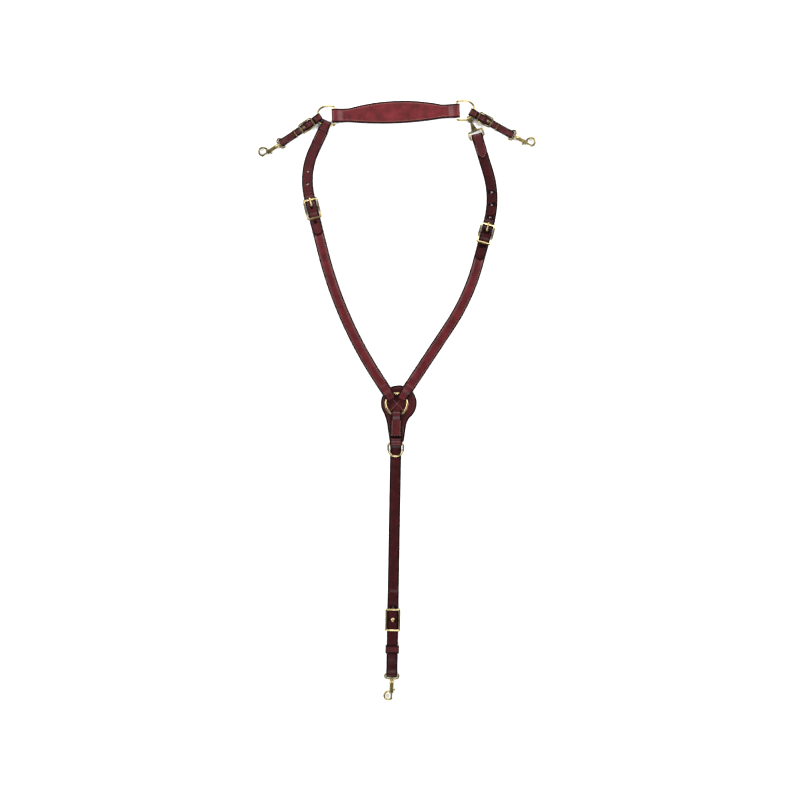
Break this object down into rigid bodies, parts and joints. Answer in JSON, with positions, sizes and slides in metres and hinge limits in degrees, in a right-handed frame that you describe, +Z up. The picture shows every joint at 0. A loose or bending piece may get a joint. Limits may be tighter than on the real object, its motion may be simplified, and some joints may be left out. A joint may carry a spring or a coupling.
{
  "type": "breastplate",
  "caption": "Western leather breastplate with a shaped wither strap, buckled neck straps, ring and safe at the chest, and bolt snaps for saddle and girth.",
  "frame": {"origin": "on the surface it lies on, in the middle of the outline", "axes": "+Z up from the surface, +Y from the girth snap to the wither strap, +X to the right seen from above"},
  "size_m": [0.556, 1.2014, 0.0174],
  "materials": {
    "burgundy_leather": "waxed, burnished edges",
    "lining_leather": "smooth flesh side",
    "wither_leather": "waxed, worn lighter",
    "pale_brass": "polished, lightly tarnished",
    "snap_brass": "cast, polished",
    "spring_steel": "bright"
  },
  "bodies": {
    "centre": {"centre_safe": "lining_leather", "girth_strap": "burgundy_leather", "dee_chape": "burgundy_leather", "girth_buckle": "pale_brass"},
    "ring": {"centre_ring": "pale_brass"},
    "martingale": {"martingale_dee": "pale_brass"},
    "girth_loop_keeper": {"girth_keeper": "burgundy_leather"},
    "girth_eye": {"girth_snap_eye": "snap_brass"},
    "girth_hook": {"girth_snap_hook": "snap_brass", "girth_snap_spring": "spring_steel"},
    "girth_bolt": {"girth_snap_bolt": "snap_brass"},
    "left_shoulder": {"left_shoulder_lining": "lining_leather", "left_shoulder_face": "burgundy_leather", "left_shoulder_band": "burgundy_leather", "left_neck_buckle": "pale_brass", "left_neck_strap": "burgundy_leather"},
    "left_tongue": {"left_neck_tongue": "pale_brass"},
    "left_dee_body": {"left_dee": "pale_brass"},
    "wither": {"wither_strap_face": "wither_leather", "wither_strap_lining": "lining_leather"},
    "right_dee_body": {"right_dee": "pale_brass"},
    "right_shoulder": {"right_shoulder_lining": "lining_leather", "right_shoulder_face": "burgundy_leather", "right_shoulder_band": "burgundy_leather", "right_neck_buckle": "pale_brass", "right_neck_strap": "burgundy_leather"},
    "right_tongue": {"right_neck_tongue": "pale_brass"},
    "neck_snap": {"neck_snap_body": "snap_brass", "neck_snap_rivet": "snap_brass"},
    "snap_leaf": {"neck_snap_leaf": "spring_steel"},
    "left_side": {"left_side_chape": "burgundy_leather", "left_side_billet": "burgundy_leather", "left_side_buckle": "pale_brass"},
    "left_side_tongue_body": {"left_side_tongue": "pale_brass"},
    "left_wire_keeper": {"left_side_keeper": "pale_brass"},
    "left_eye": {"left_snap_eye": "snap_brass"},
    "left_hook": {"left_snap_hook": "snap_brass", "left_snap_spring": "spring_steel"},
    "left_bolt": {"left_snap_bolt": "snap_brass"},
    "right_side": {"right_side_chape": "burgundy_leather", "right_side_billet": "burgundy_leather", "right_side_buckle": "pale_brass"},
    "right_side_tongue_body": {"right_side_tongue": "pale_brass"},
    "right_wire_keeper": {"right_side_keeper": "pale_brass"},
    "right_eye": {"right_snap_eye": "snap_brass"},
    "right_hook": {"right_snap_hook": "snap_brass", "right_snap_spring": "spring_steel"},
    "right_bolt": {"right_snap_bolt": "snap_brass"}
  },
  "joints": [
    {"name": "ring_swing", "type": "hinge", "parent": "centre", "child": "ring", "pos_m": [-0.00131, -0.02896, 0.0109], "axis": [0.9998, -0.0175, 0], "range_deg": [0, 35]},
    {"name": "martingale_dee_lift", "type": "hinge", "parent": "centre", "child": "martingale", "pos_m": [-0.00232, -0.08696, 0.0105], "axis": [-0.9998, 0.0175, 0], "range_deg": [0, 60]},
    {"name": "girth_keeper_slide", "type": "slide", "parent": "centre", "child": "girth_loop_keeper", "axis": [-0.0175, -0.9998, 0], "range_m": [-0.012, 0.003]},
    {"name": "left_shoulder_swing", "type": "hinge", "parent": "ring", "child": "left_shoulder", "pos_m": [-0.01457, 0.00847, 0.0109], "axis": [0.8387, 0.5446, 0], "range_deg": [0, 25]},
    {"name": "left_tongue_lift", "type": "hinge", "parent": "left_shoulder", "child": "left_tongue", "pos_m": [-0.16914, 0.38203, 0.00435], "axis": [0.9703, 0.2419, 0], "range_deg": [0, 6]},
    {"name": "left_dee_swing", "type": "hinge", "parent": "left_shoulder", "child": "left_dee_body", "pos_m": [-0.14324, 0.54829, 0.0065], "axis": [0.9989, 0.0464, 0], "range_deg": [0, 20]},
    {"name": "wither_left_swing", "type": "hinge", "parent": "left_dee_body", "child": "wither", "pos_m": [-0.12494, 0.56823, 0.0065], "axis": [0.0408, -0.9992, 0], "range_deg": [0, 60]},
    {"name": "wither_right_swing", "type": "hinge", "parent": "wither", "child": "right_dee_body", "pos_m": [0.12006, 0.57823, 0.0065], "axis": [0.0408, -0.9992, 0], "range_deg": [-2, 2]},
    {"name": "right_shoulder_swing", "type": "hinge", "parent": "ring", "child": "right_shoulder", "pos_m": [0.01269, 0.00847, 0.0109], "axis": [0.8339, -0.5519, 0], "range_deg": [0, 25]},
    {"name": "right_tongue_lift", "type": "hinge", "parent": "right_shoulder", "child": "right_tongue", "pos_m": [0.17776, 0.33283, 0.00435], "axis": [0.9659, -0.2588, 0], "range_deg": [0, 6]},
    {"name": "neck_snap_swing", "type": "hinge", "parent": "right_shoulder", "child": "neck_snap", "pos_m": [0.16088, 0.52503, 0.0053], "axis": [0.9157, 0.4019, 0], "range_deg": [0, 90]},
    {"name": "snap_leaf_press", "type": "hinge", "parent": "neck_snap", "child": "snap_leaf", "pos_m": [0.14962, 0.55066, 0.0036], "axis": [0.9157, 0.4019, 0], "range_deg": [0, 6], "stiffness_Nm_per_rad": 0.05, "springref_deg": -11.46},
    {"name": "left_side_swing", "type": "hinge", "parent": "left_dee_body", "child": "left_side", "pos_m": [-0.15927, 0.56222, 0.0065], "axis": [-0.2756, 0.9613, 0], "range_deg": [-20, 20]},
    {"name": "left_side_tongue_lift", "type": "hinge", "parent": "left_side", "child": "left_side_tongue_body", "pos_m": [-0.18, 0.54824, 0.004], "axis": [-0.5592, 0.829, 0], "range_deg": [0, 6]},
    {"name": "left_keeper_slide", "type": "slide", "parent": "left_side", "child": "left_wire_keeper", "axis": [-0.829, -0.5592, 0], "range_m": [-0.002, 0.003]},
    {"name": "left_snap_swing", "type": "hinge", "parent": "left_side", "child": "left_eye", "pos_m": [-0.22891, 0.51525, 0.0045], "axis": [-0.5592, 0.829, 0], "range_deg": [-45, 45]},
    {"name": "left_snap_swivel", "type": "hinge", "parent": "left_eye", "child": "left_hook", "pos_m": [-0.23936, 0.5082, 0.0045], "axis": [-0.829, -0.5592, 0], "continuous": true},
    {"name": "left_bolt_slide", "type": "slide", "parent": "left_hook", "child": "left_bolt", "axis": [0.829, 0.5592, 0], "range_m": [0, 0.0065], "stiffness_N_per_m": 250, "springref_m": -0.004, "deforming": ["left_snap_spring"]},
    {"name": "right_side_swing", "type": "hinge", "parent": "right_dee_body", "child": "right_side", "pos_m": [0.15397, 0.5722, 0.0065], "axis": [-0.342, -0.9397, 0], "range_deg": [-15, 10]},
    {"name": "right_side_tongue_lift", "type": "hinge", "parent": "right_side", "child": "right_side_tongue_body", "pos_m": [0.17583, 0.56008, 0.004], "axis": [-0.4848, -0.8746, 0], "range_deg": [0, 6]},
    {"name": "right_keeper_slide", "type": "slide", "parent": "right_side", "child": "right_wire_keeper", "axis": [0.8746, -0.4848, 0], "range_m": [-0.002, 0.003]},
    {"name": "right_snap_swing", "type": "hinge", "parent": "right_side", "child": "right_eye", "pos_m": [0.22744, 0.53148, 0.0045], "axis": [-0.4848, -0.8746, 0], "range_deg": [-45, 45]},
    {"name": "right_snap_swivel", "type": "hinge", "parent": "right_eye", "child": "right_hook", "pos_m": [0.23846, 0.52537, 0.0045], "axis": [0.8746, -0.4848, 0], "continuous": true},
    {"name": "right_bolt_slide", "type": "slide", "parent": "right_hook", "child": "right_bolt", "axis": [-0.8746, 0.4848, 0], "range_m": [0, 0.0065], "stiffness_N_per_m": 250, "springref_m": -0.004, "deforming": ["right_snap_spring"]},
    {"name": "girth_snap_swing", "type": "hinge", "parent": "centre", "child": "girth_eye", "pos_m": [-0.01037, -0.54788, 0.0051], "axis": [-0.9998, 0.0175, 0], "range_deg": [-45, 45]},
    {"name": "girth_snap_swivel", "type": "hinge", "parent": "girth_eye", "child": "girth_hook", "pos_m": [-0.01059, -0.56048, 0.0051], "axis": [-0.0175, -0.9998, 0], "continuous": true},
    {"name": "girth_bolt_slide", "type": "slide", "parent": "girth_hook", "child": "girth_bolt", "axis": [0.0175, 0.9998, 0], "range_m": [0, 0.0065], "stiffness_N_per_m": 250, "springref_m": -0.004, "deforming": ["girth_snap_spring"]}
  ]
}
